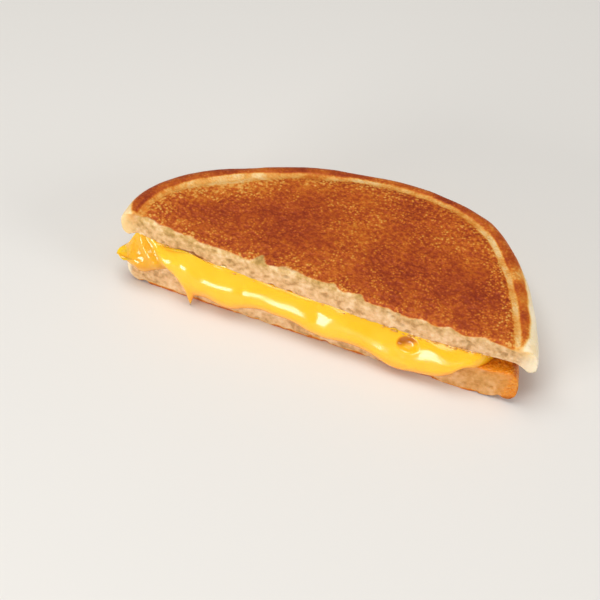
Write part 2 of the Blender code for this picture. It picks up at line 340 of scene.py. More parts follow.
def slice_grid(plan, upper, lower, upper_roll, lower_roll, widest, columns, rows, wall_rows):
    """Points and faces of a slice of bread: two faces, the crust's wall between them and the cut.

    A face point lies on its ray from the middle of the cut, at a share of the way to where the crust
    starts to roll. The wall's rows are two superellipse quarter turns that meet at the crust's widest
    line. The cut is a Coons patch between the faces' front edges and the wall's two ends.
    """
    front = plan[2]
    angle, share = half_disc(columns, rows)
    edge_x, edge_y = outline(angle, plan)
    reach = np.hypot(edge_x, edge_y - front)

    def face(height, roll):
        """Places of a face, up to where its crust starts to roll."""
        part = share * (1.0 - roll / reach)
        x, y = part * edge_x, front + part * (edge_y - front)
        return np.stack([x, y, height(x, y, reach - part * reach)], axis=-1)

    over, under = face(upper, upper_roll), face(lower, lower_roll)
    index = np.arange(rows * columns).reshape(rows, columns)
    rim = np.concatenate([index[:-1, 0], index[-1, :-1], index[::-1, -1]])
    over_rim, under_rim = over.reshape(-1, 3)[rim], under.reshape(-1, 3)[rim]
    t = angle.ravel()[rim]
    rim_x, rim_y = outline(t, plan)
    rim_reach = np.hypot(rim_x, rim_y - front)
    middle = under_rim[:, 2] + widest * (over_rim[:, 2] - under_rim[:, 2])

    def turn(amounts, roll, edge):
        """Rows of a quarter turn between the widest line and a face's edge."""
        part = 1.0 - roll * (1.0 - np.sin(amounts) ** (2.0 / ROLL_SQUARENESS)) / rim_reach
        z = middle + (edge - middle) * np.cos(amounts) ** (2.0 / ROLL_SQUARENESS)
        return np.stack([part * rim_x, front + part * (rim_y - front), z], axis=-1)

    half = wall_rows // 2
    down = np.linspace(0.0, np.pi / 2, half + 1)[1:, None]
    up = np.linspace(np.pi / 2, 0.0, wall_rows - half + 1)[1:-1, None]
    wall_parts = (turn(down, upper_roll, over_rim[:, 2]), turn(up, lower_roll, under_rim[:, 2]))
    wall = np.concatenate(wall_parts)

    full_wall = np.concatenate([over_rim[None], wall, under_rim[None]])
    s = np.linspace(0.0, 1.0, columns)[None, :, None]
    w = np.linspace(0.0, 1.0, wall_rows + 1)[:, None, None]
    right, left = full_wall[:, :1], full_wall[:, -1:]
    right_corners = (1 - w) * right[:1] + w * right[-1:]
    left_corners = (1 - w) * left[:1] + w * left[-1:]
    corners = (1 - s) * right_corners + s * left_corners
    cut = (1 - w) * over[:1] + w * under[:1] + (1 - s) * right + s * left - corners
    cut = cut[1:-1, 1:-1]

    points = np.concatenate([part.reshape(-1, 3) for part in (over, under, wall, cut)])
    count = rows * columns
    under_index = index + count
    wall_index = np.arange(wall.shape[0] * wall.shape[1]).reshape(wall.shape[:2]) + 2 * count
    cut_index = np.arange(cut.shape[0] * cut.shape[1]).reshape(cut.shape[:2])
    cut_index += 2 * count + wall_index.size
    wall_grid = np.concatenate([rim[None], wall_index, rim[None] + count])
    cut_grid = np.empty((wall_rows + 1, columns), int)
    cut_grid[0], cut_grid[-1] = index[0], under_index[0]
    cut_grid[:, 0], cut_grid[:, -1] = wall_grid[:, 0], wall_grid[:, -1]
    cut_grid[1:-1, 1:-1] = cut_index
    faces = np.concatenate([
        quads(index)[:, ::-1], quads(under_index), quads(wall_grid)[:, ::-1], quads(cut_grid)
    ])
    return points, faces


CUT_NEAR = 0.01  # a point less than this behind the cut's line lies on the cut
CRUST_UNEVEN = 0.7
CRUST_FADE = 6.0  # over this inset the crust line's unevenness dies away
TEAR_FADE = 1.3  # and over this depth behind the cut, its roughness


def shape_crust(points, plan, depth, bends, seed):
    """Draws the crust line in unevenly by up to depth, and bends it out or in, fading inside the rim.

    The bends are humps along the bearing, in degrees. Gives each place's inset from the plain line.
    """
    front = plan[2]
    inset = np.maximum(inset_at(points[:, 0], points[:, 1], plan), 0.0)
    bearing = np.degrees(np.arctan2(points[:, 1] - front, points[:, 0]))
    uneven = 0.5 + 0.35 * noise(points, 16.0, seed) + 0.3 * noise(points, 4.5, seed + 5)
    amount = (depth * np.clip(uneven, 0.0, 1.0) - humps(bearing, bends)) * np.exp(-inset / CRUST_FADE)
    reach = np.maximum(np.hypot(points[:, 0], points[:, 1] - front), 1.0)
    points[:, 0] -= amount * points[:, 0] / reach
    points[:, 1] -= amount * (points[:, 1] - front) / reach
    return inset


def round_arris(points, front, below, radius):
    """Rounds the edge between a face and the cut: places near it move onto an eighth of a turn each.

    At a distance d from the edge, less than the radius, the turn left is f = 45 degrees times
    (1 - d / radius). It sets a face point in by radius (1 - sin f) and down by radius (1 - cos f), and a
    point of the cut the other way round.
    """
    y = points[:, 1] - front
    on_cut = y < CUT_NEAR
    left = np.pi / 4 * (1.0 - np.where(on_cut, np.maximum(below, 0.0), y) / radius)
    near = (left > 0.0) & (below < radius)
    along, across = radius * (1.0 - np.sin(left)), radius * (1.0 - np.cos(left))
    points[:, 1] = np.where(near, front + np.where(on_cut, across, along), points[:, 1])
    points[:, 2] -= np.where(near, np.where(on_cut, along - below, across), 0.0)


def tear_cut(points, front, below, seed):
    """Roughens the cut: torn crumb set in by a few tenths, with scattered pores below the arris.

    Gives how deep into the pores each place lies, from 0 to 1, which sets their painted shade.
    """
    flat = points * (1.0, 0.0, 1.0)
    torn = 0.25 + 0.2 * noise(flat, 3.6, seed, 3)
    distance, number = cells(flat * (0.7, 1.0, 1.0), 2.4, seed)
    pores = 0.5 * smooth((0.42 - distance) / 0.25) * (number > 0.55) * smooth((below - 0.4) / 1.0)
    behind = np.exp(-np.maximum(points[:, 1] - front, 0.0) / TEAR_FADE)
    points[:, 1] += np.clip(torn + pores, 0.0, 1.0) * behind
    return smooth((pores - 0.05) / 0.35)


def blend(share, a, b):
    """a where the share is 0, b where it is 1."""
    return a + (b - a) * share


# ---------------------------------------------------------------- the upper slice

TOP_GRID = (281, 119, 32)
TOP_ARRIS = 1.2  # radius of the edge between the browned face and the cut
# What follows along the crust goes by bearing from the middle of the cut, in degrees: 0 is the right
# end, 90 the back and 180 the left end. Each row gives a bearing, a half width and how much.
TOP_BENDS = (  # of the crust line, outwards
    (113.0, 11.0, 1.3), (90.0, 13.0, 0.6), (137.0, 8.0, -0.8), (70.0, 6.0, -0.3), (51.0, 7.0, 0.8),
    (4.0, 12.0, 0.7),
)
RING = 6.9  # inset of the pale ring that never touched the pan
RING_HALF = 1.1
RING_WIDER = ((145.0, 18.0, 1.3),)  # each way
RING_BENDS = ((151.0, 17.0, 2.1), (91.0, 16.0, -1.3))  # inwards
RING_TONES = (
    (142.0, 13.0, -0.09), (98.0, 8.0, -0.1), (117.0, 8.0, 0.14), (20.0, 25.0, -0.03),
    (170.0, 11.0, 0.12),
)
RIM_GAP = ((29.0, 3.0, 0.75),)  # a golden break in the browned rim
GOLDEN_WIDTH = 4.5  # the browned face turns golden this close to its edge
GOLDEN_WIDER = ((145.0, 30.0, 3.5),)
BACK_LEFT_PALER = (145.0, 27.0, 8.0)  # paler inside the ring: bearing, half width and over what inset
# How browned the parts are: 0 is pale crumb and 1 is burnt.
FACE_TONE = 0.62
RING_TONE = 0.27
RIM_TONE = 0.61
WALL_TONE = 0.02
# Along the wall: browner at the back, and at the left end a darker tone that is painted shade
WALL_TONES = ((95.0, 45.0, 0.14), (172.0, 20.0, 0.07))
# Darker and paler patches of the browned face: X, Y, half width and tone.
PATCHES = (
    (-23.0, 27.0, 16.0, 0.07), (43.0, 16.0, 14.0, 0.06), (2.0, 29.0, 9.0, -0.06),
    (35.0, 34.0, 10.0, -0.05), (-45.0, 12.0, 10.0, 0.06),
)
BROWN_EDGE = 0.3  # the browned face ends this far behind the arris at the left
BROWN_EDGE_RIGHT = (5.0, 25.0, 1.4)  # from here, over this run, it comes this much further forward
BROWN_EDGE_UNEVEN = 0.7
# Where crumb shows in the browned face's front edge: place along the cut, half width and depth.
NOTCHES = (
    (-63.0, 3.0, 0.8), (-22.5, 1.8, 2.9), (-12.5, 4.5, 1.9), (3.0, 3.0, 0.9), (14.0, 1.6, 1.2),
    (46.0, 2.5, 0.8), (57.0, 3.0, 1.2),
)
CRUMB_FROM_END = (1.0, 7.0)  # the cut's torn crumb starts this far inside the crust, over this run


def ring_centre(x, y, flat):
    """The pale ring's inset, further in at the left and further out at the back, and the bearing."""
    bearing = np.degrees(np.arctan2(y, x))
    return RING + humps(bearing, RING_BENDS) + 0.35 * noise(flat, 9.0, 31, 2), bearing


def upper_slice():
    """The slice that shows its browned face: points, faces and the fields of its look."""
    points, faces = slice_grid(
        TOP_PLAN, top_browned, top_crumb, PAN_ROLL, CRUMB_ROLL, TOP_WIDEST, *TOP_GRID
    )
    x, y, z = points.T.copy()
    inset = shape_crust(points, TOP_PLAN, CRUST_UNEVEN, TOP_BENDS, 11)
    floor_z, face_z = top_crumb(x, y, inset), top_browned(x, y, inset)
    level = np.clip((z - floor_z) / np.maximum(face_z - floor_z, 0.1), 0.0, 1.0)
    points[:, 2] -= (floor_z - sagging_crumb(x, y, inset)) * (1.0 - level)
    on_cut = y < CUT_NEAR
    flat = points * (1.0, 1.0, 0.0)
    ring, bearing = ring_centre(x, y, flat)
    ring_half = RING_HALF + humps(bearing, RING_WIDER)

    # The browned face ends inside the ring, and near the arris at a ragged line with notches.
    behind = np.where(on_cut, z - face_z, y)
    start, run, forward = BROWN_EDGE_RIGHT
    edge = BROWN_EDGE - forward * smooth((x - start) / run)
    edge = edge + BROWN_EDGE_UNEVEN * noise(flat, 4.0, 21, 3) + humps(x, NOTCHES)
    past_edge = behind - edge
    past_ring = inset - ring - ring_half
    inside = np.minimum(past_edge, past_ring)
    field = smooth((inside + 0.3) / 0.9)
    golden = hump(np.maximum(inside, 0.0) / (GOLDEN_WIDTH + humps(bearing, GOLDEN_WIDER)))
    golden *= 1.0 - 0.5 * smooth((past_ring - past_edge) / 4.0)
    patches = sum(tone * hump(np.hypot(x - px, y - py) / half) for px, py, half, tone in PATCHES)
    browned = FACE_TONE - 0.1 * golden + 0.05 * noise(flat, 17.0, 41)
    browned = browned + 0.05 * noise(flat, 6.0, 43) + patches
    at, half, width = BACK_LEFT_PALER
    browned -= 0.17 * hump(np.maximum(past_ring, 0.0) / width) * hump((bearing - at) / half)
    ring_tone = RING_TONE + 0.1 * noise(flat, 4.0, 61, 2)
    ring_tone += humps(bearing, RING_TONES)

    # The rim starts further in towards both ends of the crust and next to the cut.
    rim_start = 0.5 + 1.4 * smooth((38.0 - bearing) / 15.0) + 1.0 * smooth((bearing - 150.0) / 20.0)
    near_cut = 2.8 * smooth((7.0 - y) / 7.0)
    rim_start += 0.8 * smooth((22.0 - bearing) / 12.0) + near_cut + 0.4 * noise(flat, 5.0, 53, 2)
    rim = smooth((inset - rim_start) / 0.8) * smooth((ring - ring_half - inset) / 0.9 + 0.5)
    rim *= smooth((y - 0.8 + 0.6 * noise(flat, 3.0, 47)) / 1.2)
    rim *= 1.0 - humps(bearing, RIM_GAP)
    rim_tone = RIM_TONE + 0.13 * noise(flat, 7.0, 51, 2) - 0.1 * smooth((24.0 - bearing) / 12.0)
    rim_tone += 0.07 * smooth((inset - ring + 3.0) / 1.5)
    wall = WALL_TONE + 0.06 * np.abs(noise(points, 9.0, 71, 2)) + humps(bearing, WALL_TONES)

    # Tones are laid over each other: wall, ring, face and rim, and then the crumb of the cut.
    ringed = smooth((inset - rim_start + 0.6) / 1.2)
    toast = blend(ringed, wall, ring_tone)
    toast = blend(field, toast, browned)
    toast = blend(rim, toast, rim_tone)
    toast = blend(smooth((0.9 - level) / 0.3) * ~on_cut, toast, wall)

    tip = smooth((past_edge + 0.4) / 0.8)
    crumb = (1.0 - tip) * np.where(level > 0.98, 1.0, on_cut)
    crumb_tone = 0.5 * level**3 + 0.2 * smooth((-15.0 - x) / 30.0)
    start, run = CRUMB_FROM_END
    torn = smooth((inset - start) / run)
    toast = blend(crumb, toast, blend(torn, wall, crumb_tone))
    # How strongly the pearls show: their light golden tops are partly their own colour and partly
    # painted highlight
    speckle = (0.17 + 0.1 * golden - 0.8 * np.maximum(patches, 0.0)) * field
    speckle += 0.08 * rim + 0.09 * ringed * (1.0 - field) * (1.0 - rim)
    speckle *= level > 0.9
    crumb = np.maximum(crumb, level < 0.02) * torn

    # The face blisters, and its groove follows the ring.
    face = smooth((level - 0.4) / 0.5) * smooth(inset / 4.0)
    bumps = noise(flat, 1.5, 81, 2) * (0.06 + 0.5 * speckle) + 0.25 * noise(flat, 8.0, 83)
    moved_groove = hump((inset - ring) / GROOVE_WIDTH) - hump((inset - GROOVE_INSET) / GROOVE_WIDTH)
    points[:, 2] += (bumps - 0.25 - GROOVE_DEPTH * moved_groove) * face
    round_arris(points, 0.0, face_z - z, TOP_ARRIS)
    # How deep into the pores each place lies sets their painted shade
    pore = tear_cut(points, 0.0, face_z - z, 91)
    return points, faces, {"toast": toast, "speckle": speckle, "crumb": crumb, "pore": pore * on_cut}


# ---------------------------------------------------------------- the lower slice

BASE_GRID = (241, 91, 28)
BASE_ARRIS = 0.8
LIFTED_CORNER = (6.0, 1.5)  # over what width its right front corner curls off the table, and how far
LIFTED_FROM = (48.0, 20.0)  # from this place along the cut, over this run
OILY_FROM = 50.0  # right of here the lower slice's crumb is fried golden and wet with butter
FRIED_END = (60.0, 7.0)  # from here and over this run its right end is fried all round
UNDER_FACE_TONE = 0.66
UNDER_RING_TONE = 0.28
UNDER_RIM_TONE = 0.58
BASE_WALL_TONE = 0.16
BASE_CUT_TONE = 0.04
INNER_TONE = 0.12


def lower_slice():
    """The slice under the cheese: points, faces and the fields of its look."""
    points, faces = slice_grid(
        BASE_PLAN, base_crumb, base_browned, CRUMB_ROLL, PAN_ROLL, BASE_WIDEST, *BASE_GRID
    )
    x, y, z = points.T.copy()
    front = BASE_PLAN[2]
    inset = shape_crust(points, BASE_PLAN, CRUST_UNEVEN, (), 13)
    low_z, high_z = base_browned(x, y, inset), base_crumb(x, y, inset)
    level = np.clip((z - low_z) / np.maximum(high_z - low_z, 0.1), 0.0, 1.0)
    on_cut = y < front + CUT_NEAR
    under = (level < 0.02).astype(float)
    inner = (level > 0.98) & ~on_cut

    flat = points * (1.0, 1.0, 0.0)
    ring = ring_centre(x, y - front, flat)[0]
    field = smooth((inset - ring - 0.7) / 1.2)
    rim = smooth((inset - 0.5) / 0.8) * smooth((ring - RING_HALF - inset) / 0.9 + 0.5)
    under_tone = blend(field, UNDER_RING_TONE, UNDER_FACE_TONE)
    face = blend(rim, under_tone, UNDER_RIM_TONE) + 0.06 * noise(flat, 12.0, 141, 2)
    start, run = FRIED_END
    fried_end = smooth((x - start) / run)
    wall = BASE_WALL_TONE + 0.12 * noise(points, 9.0, 171, 2)
    wall = wall + 0.3 * smooth((0.35 - level) / 0.3) + 0.28 * fried_end
    singed = smooth((1.2 + 0.9 * noise(points, 5.0, 181, 3) + 1.0 * fried_end - z) / 1.0)
    corner = smooth((x - 62.5 - 0.35 * z + noise(points, 4.0, 183, 2)) / 4.0)
    cut_tone = BASE_CUT_TONE + 0.5 * singed + 0.36 * corner
    fried = smooth((cut_tone - 0.12) / 0.25)
    golden_end = (0.22 + 0.2 * level**3) * smooth((x - 34.0) / 16.0)
    inner_tone = INNER_TONE + (0.26 + 0.14 * noise(flat, 4.0, 187, 2)) * smooth((x - OILY_FROM) / 5.0)
    inner_tone += 0.1 * smooth((6.0 - inset) / 4.0)

    # Tones are laid over each other: underside and wall, cheese side, and then the crumb of the cut.
    toast = np.where(under > 0, face, wall)
    toast = np.where(inner, inner_tone, toast)
    toast = np.where(on_cut, cut_tone + golden_end * (1.0 - fried), toast)
    oily = smooth((x - OILY_FROM) / 6.0)
    oil = np.where(inner, oily, 0.3 * fried_end + 0.4 * smooth((x - 36.0) / 16.0) * on_cut)
    right_end = smooth((x - 40.0) / 12.0)
    crumb = np.where(on_cut, 1.0 - fried, inner * (x < OILY_FROM + 3.0))
    crumb = crumb * smooth((inset - 0.6) / 2.0) * (1.0 - 0.7 * level**6 * right_end)
    speckle = np.where(under > 0, 0.14 * field + 0.06, 0.1 * fried_end + 0.08 * (1.0 - crumb))
    # Painted glints: the speckle on the oily inner face stands for its glistening highlights
    speckle += 0.24 * inner * oily

    points[:, 2] += 0.1 * np.abs(noise(flat, 1.6, 121, 2)) * under * (inset < RIM)
    width, height = LIFTED_CORNER
    start, run = LIFTED_FROM
    points[:, 2] += height * smooth((x - start) / run) ** 2 * np.exp((front - y) / width - z / width)
    points[:, 2] = np.maximum(points[:, 2], 0.0)
    round_arris(points, front, high_z - z, BASE_ARRIS)
    # Painted shade in the pores, and a darker crumb all over the right end
    pore = np.maximum(tear_cut(points, front, high_z - z, 191), 0.4 * right_end)
    return points, faces, {
        "toast": toast, "speckle": speckle, "crumb": crumb, "pore": pore * on_cut, "oil": oil,
    }


# ---------------------------------------------------------------- the cheese

CHEESE_COLUMNS = 560
COLUMN_CROWDING = 0.2  # how much closer its cross-sections stand towards both ends
BULGE_ROWS = 96
INNER_ROWS = 14
INNER_CROWDING = 1.7
SUNK = 0.12  # how far the cheese reaches into the bread that it sticks to
BELLY = 0.64  # the bulge stands out furthest at this share of its height, from the top
BELLY_SLOPE = 1.5  # near 1, it slopes straight out to there, and more rounds its shoulder
THREAD_FROM = 0.86  # the thread hangs from here, a share of the way down the bulge
THREAD_SPREAD = 0.1
LEAST_CLEAR = 0.35  # the cheese hangs no lower than this above the table
OVER_CRUMB = (-49.0, 8.0, 3.2)  # it creeps up over the upper slice's cut: place, half width and height
NOSE_RUN = 6.0  # the film's left end is rounded in plan over this length, about NOSE_MIDDLE
NOSE_MIDDLE = -3.4
NOSE_SHARE = 0.97  # how much of a quarter turn that rounding is
# The film slumps at its left end: over what length, the share of its height that it loses, and how far
# below the lower slice's cheese side it aims in front of the cut.
LEFT_SLUMP = (11.0, 0.78, 5.0)
PAST_SLICES = (8.0, 6.0)  # from this far inside its left end, over this run, it is clear of the slices
SLOPE = 1.03  # relief is placed by the height where a slope this steep meets the plane RELIEF_PLANE
RELIEF_PLANE = -4.5
FOLD_FOOT = -46.0  # the fold's edge at the table, and how far left it leans for each millimetre up
FOLD_LEAN = 0.66
FOLD_STEP = 1.2
FILM_RIDGES = ((5.0, 2.2, 0.7), (13.0, 4.0, 0.7))  # distance left of the fold, half width and height
LOBE_GROOVE = ((0.6, 2.4, 0.3),)  # between two lobes: place along the cut, half width and depth
LOBE_GROOVE_TOP = (18.0, 4.0)  # it ends below this height, over this run
CREASE = ((-27.0, 1.8, 0.2),)
BUBBLE = (32.5, 15.6, 4.0, 1.5)  # popped bubble: place along the cut, height, radius and depth
BUBBLE_LIP = ((1.1, 0.25, 0.1),)  # distance in radii, half width and height
# Swells and dips of the bulge: place along the cut, height, half width, half height and how far out.
SWELLS = (
    (-55.0, 25.0, 7.0, 6.0, -1.9), (-48.6, 17.8, 4.6, 4.6, 0.9), (-35.0, 13.8, 11.0, 5.5, 0.9),
    (-30.0, 18.0, 6.0, 5.0, 0.3), (-10.0, 19.0, 10.0, 5.0, 0.3), (6.5, 17.5, 4.0, 4.0, 0.4),
    (42.5, 17.8, 6.0, 4.4, 0.85),
)


def lip_hang(x):
    """How far the cheese hangs below the lower slice's cheese side, and its thread below that."""
    hang = humps(x, LOBES.values())
    place, half_width, drop = THREAD
    thread = drop * np.maximum(0.0, 1.0 - np.abs(x - place) / half_width) ** 1.5
    return LEAST_HANG + hang * smooth((HANG_END - x) / HANG_FADE), thread


def lip_front(x):
    """Y of the cheese's front: out of the cut, and drawn back under the upper slice at both ends."""
    reach = LIP_REACH + LIP_SWELL * np.minimum(lip_hang(x)[0], MOST_SWELLING_HANG)
    right, right_run, right_depth = DRAW_BACK_RIGHT
    left, left_run, left_depth = DRAW_BACK_LEFT
    from_right = right_depth * np.clip((x - right) / right_run, 0.0, 1.0) ** 2
    from_left = left_depth * np.clip((left - x) / left_run, 0.0, 1.0) ** 2.5
    return from_right + from_left - reach


def cheese_back(x):
    """Y of the cheese's back edge: inside the lower slice's crust, with a short film past its end."""
    plan = (BASE_HALF_LENGTH - CHEESE_INSET, BASE_MIDDLE, -BASE_STEP, BASE_DEPTH - CHEESE_INSET)
    edge_x, edge_y = outline(np.linspace(np.pi, 0.0, 1441), plan)
    film = FILM_DEPTH * quarter_round(LEFT_END + (CHEESE_LEFT - x) / FILM_LENGTH)
    return np.maximum(np.interp(x, np.maximum.accumulate(edge_x), edge_y), film)


def slumped(x, y, z, crumb_z):
    """The cheese's height once the film's left end has slumped.

    It loses a share of its height above the lower slice's cheese side, and sinks below that where no
    bread holds it: in front of the cut and past the slices' ends.
    """
    run, share, low = LEFT_SLUMP
    start, fade = PAST_SLICES
    past_end = smooth((CHEESE_LEFT + start - x) / fade)
    in_front = 1.0 - (1.0 - smooth((0.5 - y) / 4.0)) * (1.0 - past_end)
    free_of_slice = 1.0 - (1.0 - smooth((-0.8 - y) / 3.5)) * (1.0 - 0.6 * past_end)
    height = np.maximum(z - crumb_z, 0.0)
    lost = share * smooth((CHEESE_LEFT + run - x) / run) * in_front
    return z - lost * (height + low * free_of_slice * smooth((height + 3.0) / 4.0))


def bulge_relief(bulge):
    """How far the bulge's relief stands out, how far its places lie in the film, and how much painted
    shade falls on the bubble's upper-left inner wall.

    The relief adds up the step of the fold, the ridges of the film, the groove between two lobes, low
    swells and the popped bubble, all placed along the cut and by height.
    """
    x, z = bulge[..., 0], bulge[..., 2] + SLOPE * (bulge[..., 1] - RELIEF_PLANE)
    left_of_fold = FOLD_FOOT - FOLD_LEAN * z - x
    film = smooth((left_of_fold + 1.0) / 3.5)
    relief = -FOLD_STEP * film
    relief += humps(left_of_fold, FILM_RIDGES)
    top, run = LOBE_GROOVE_TOP
    relief -= humps(x, LOBE_GROOVE) * smooth((top - z) / run) + humps(x, CREASE)
    relief += 0.3 * noise(bulge * (0.6, 1.0, 1.0), 8.0, 213, 2)
    relief += film * (0.25 * noise(bulge, 3.0, 215) + 0.12 * noise(bulge, 1.3, 217))
    for place, height, half_width, half_height, out in SWELLS:
        relief += out * hump(np.hypot((x - place) / half_width, (z - height) / half_height))
    place, height, radius, depth = BUBBLE
    away = np.hypot(x - place, z - height) / radius
    relief += humps(away, BUBBLE_LIP) - depth * smooth((1.05 - away) / 0.7)
    # The popped bubble's upper-left inner wall gets painted shade, a dark orange crescent
    pit = smooth((1.1 - away) / 0.3) * smooth((z - height - 0.7 * (x - place) + 1.5) / 3.5)
    return relief, film, pit


def melted_layer():
    """The cheese: cross-sections of the bulge, the layer over the lower slice and under the upper one.

    A cross-section of the bulge sweeps out from the upper slice to its belly and back in a quarter
    circle. Both ends are rounded, and the left one slumps. The relief is laid along the bulge's own
    normals.
    """
    share = np.linspace(-1.0, 1.0, CHEESE_COLUMNS)
    share = (1.0 - COLUMN_CROWDING) * share + COLUMN_CROWDING * np.sin(share * np.pi / 2)
    x = (CHEESE_LEFT + CHEESE_RIGHT) / 2 + (CHEESE_RIGHT - CHEESE_LEFT) / 2 * share
    back = cheese_back(x)
    front = np.minimum(lip_front(x), back - LEAST_DEPTH)
    crown = np.maximum(front + BULGE_CROWN, TOP_START)
    wall = np.maximum(front + BULGE_WALL, -BASE_STEP - 0.2)

    inner = (1.0 - (1.0 - np.linspace(0.0, 1.0, INNER_ROWS)) ** INNER_CROWDING)[:, None]
    under_y = wall + (back - wall) * inner
    over_y = (crown + (back - crown) * inner)[::-1]
    column = np.broadcast_to(x, under_y.shape)
    under_z = base_crumb(column, under_y, np.maximum(inset_at(column, under_y, BASE_PLAN), 0.0)) - SUNK
    over_z = sagging_crumb(column, over_y, inset_at(column, over_y, TOP_PLAN)) + SUNK

    turn = np.linspace(0.0, np.pi, BULGE_ROWS + 1)[1:, None]
    fall = (1.0 - np.cos(turn)) / 2
    straight = crown + (wall - crown) * fall
    above = 1.0 - np.maximum(1.0 - fall / BELLY, 0.0) ** BELLY_SLOPE
    below = quarter_round((fall - BELLY) / (1.0 - BELLY))
    bulge_y = straight + (front - straight) * above * below
    hang, thread = lip_hang(x)
    bulge_z = over_z[-1] + (under_z[0] - hang - over_z[-1]) * fall
    bulge_z = bulge_z - thread * hump((fall - THREAD_FROM) / THREAD_SPREAD)
    place, half_width, height = OVER_CRUMB
    creep = height * hump((x - place) / half_width) * smooth((0.2 - bulge_y) / 1.0) * (1.0 - fall) ** 2
    bulge_z = np.maximum(bulge_z + creep, LEAST_CLEAR)

    left_end = quarter_round(LEFT_END * (CHEESE_LEFT + LEFT_ROUND - x) / LEFT_ROUND)
    right_end = quarter_round(RIGHT_END * (x - CHEESE_RIGHT + RIGHT_ROUND) / RIGHT_ROUND)
    core = (under_z[0] + over_z[-1]) / 2
    y = np.concatenate([bulge_y, under_y, over_y])
    nose = quarter_round((CHEESE_LEFT + NOSE_RUN - x) / NOSE_RUN * NOSE_SHARE)
    y = NOSE_MIDDLE + (y - NOSE_MIDDLE) * nose
    z = core + left_end * right_end * (np.concatenate([bulge_z, under_z, over_z]) - core)
    points = np.stack([np.broadcast_to(x, y.shape), y, slumped(x, y, z, under_z[0])], axis=-1)

    bulge = points[:BULGE_ROWS]
    normal = np.cross(np.gradient(bulge, axis=0), np.gradient(bulge, axis=1))
    normal /= np.maximum(np.linalg.norm(normal, axis=-1, keepdims=True), 1e-9)
    if normal[BULGE_ROWS // 2, CHEESE_COLUMNS // 2, 1] > 0:
        normal = -normal
    free = np.sin(turn[:BULGE_ROWS]) ** 0.5 * left_end * right_end * smooth((x - CHEESE_LEFT) / 4.0)
    relief, film, pit = bulge_relief(bulge)
    points[:BULGE_ROWS] += normal * (relief * free)[..., None]

    loops = np.arange(points.shape[0] * points.shape[1]).reshape(points.shape[:2])
    closed = np.concatenate([loops, loops[:1]])
    faces = quads(closed)[:, ::-1].tolist()
    faces += [loops[::-1, 0].tolist(), loops[:, -1].tolist()]
    # low: how much painted shade, a deeper orange, falls on the bulge from its belly down to where it
    # turns under
    low = smooth((fall[:BULGE_ROWS] - 0.55) / 0.4)
    fields = {}
    for name, values in (("thin", film * free), ("pit", pit), ("low", low)):
        whole = np.zeros(points.shape[:2])
        whole[:BULGE_ROWS] = values
        fields[name] = whole.ravel()
    return points.reshape(-1, 3), faces, fields


# ---------------------------------------------------------------- crumbs

CRUMB_BITS = 70
CRUMB_BIT_SIZES = (0.22, 0.55)
# Most lie in the right stretch of the cut and the others in the left one: its start and its length.
RIGHT_SHARE = 0.7
RIGHT_STRETCH = (24.0, 36.0)
LEFT_STRETCH = (-66.0, 90.0)


def fried_crumbs():
    """Bits of fried crumb caught where the upper slice's cut meets the cheese, thickest at the right.

    Each is a squashed ball: a ring of six between two poles, turned and dented by its lattice numbers.
    """
    number = np.arange(CRUMB_BITS)[:, None] * (1.0, 0.0, 0.0)
    draw = [lattice(number, 301 + k)[:, None] for k in range(8)]
    right, left = (start + length * draw[1] for start, length in (RIGHT_STRETCH, LEFT_STRETCH))
    x = np.where(draw[0] < RIGHT_SHARE, right, left)
    size = blend(draw[2] ** 2, *CRUMB_BIT_SIZES)
    ring = np.arange(6) * np.pi / 3 + 6.0 * draw[3]
    around = np.cos(ring), np.sin(ring)
    zero, one = np.zeros_like(x), np.ones_like(x)
    ball = np.stack([
        np.concatenate([zero, around[0], zero], axis=1) * (1.2 + 1.2 * draw[4]),
        np.concatenate([zero, around[1], zero], axis=1) * 0.7,
        np.concatenate([one, 0.25 * np.sin(2.0 * ring), -one], axis=1) * 0.7,
    ], axis=-1)
    floor_z = sagging_crumb(x, zero, inset_at(x, zero + 0.1, TOP_PLAN))
    centre = np.stack([x, -0.5 * draw[5], floor_z - 0.1 + 0.8 * (draw[6] - 0.3)], axis=-1)
    points = centre + ball * size[..., None]
    around = np.arange(1, 7)
    after = around % 6 + 1
    upper_cap = np.stack([np.zeros(6, int), around, after], axis=-1)
    lower_cap = np.stack([np.full(6, 7), after, around], axis=-1)
    first = 8 * np.arange(CRUMB_BITS)[:, None, None]
    faces = np.concatenate([(first + cap).reshape(-1, 3) for cap in (upper_cap, lower_cap)]).tolist()
    return points.reshape(-1, 3), faces, {}


# ---------------------------------------------------------------- materials


def linear(code):
    """Turns an sRGB hex colour into linear red, green, blue and a full alpha."""
    values = (int(code[i:i + 2], 16) / 255 for i in (1, 3, 5))
    return (*(v / 12.92 if v <= 0.04045 else ((v + 0.055) / 1.055) ** 2.4 for v in values), 1.0)


def add(tree, kind, inputs=None, **settings):
    """Adds a node with its settings, and sets its inputs to values or links them to other outputs."""
    made = tree.nodes.new(kind)
    for key, value in settings.items():
        setattr(made, key, value)
    for key, value in (inputs or {}).items():
        if isinstance(value, bpy.types.NodeSocket):
            tree.links.new(value, made.inputs[key])
        else:
            made.inputs[key].default_value = value
    return made


def calculate(tree, operation, a, b=0.0, c=0.0):
    """The result of a sum on up to three values."""
    return add(tree, "ShaderNodeMath", {0: a, 1: b, 2: c}, operation=operation).outputs[0]


def mix(tree, factor, a, b):
    """Colour a where the factor is 0, colour b where it is 1."""
    return add(tree, "ShaderNodeMix", {0: factor, 6: a, 7: b}, data_type="RGBA").outputs[2]


def new_material(name, roughness):
    """A new material and its Principled shader."""
    material = bpy.data.materials.new(name)
    material.use_nodes = True
    shader = material.node_tree.nodes["Principled BSDF"]
    shader.inputs["Roughness"].default_value = roughness
    return material, shader


def ramp(tree, factor, stops):
    """A colour ramp through the given places and hex colours; gives its colour."""
    made = add(tree, "ShaderNodeValToRGB", {"Fac": factor})
    elements = made.color_ramp.elements
    while len(elements) < len(stops):
        elements.new(0.5)
    for element, (place, code) in zip(elements, stops):
        element.position = place
        element.color = linear(code)
    return made.outputs["Color"]


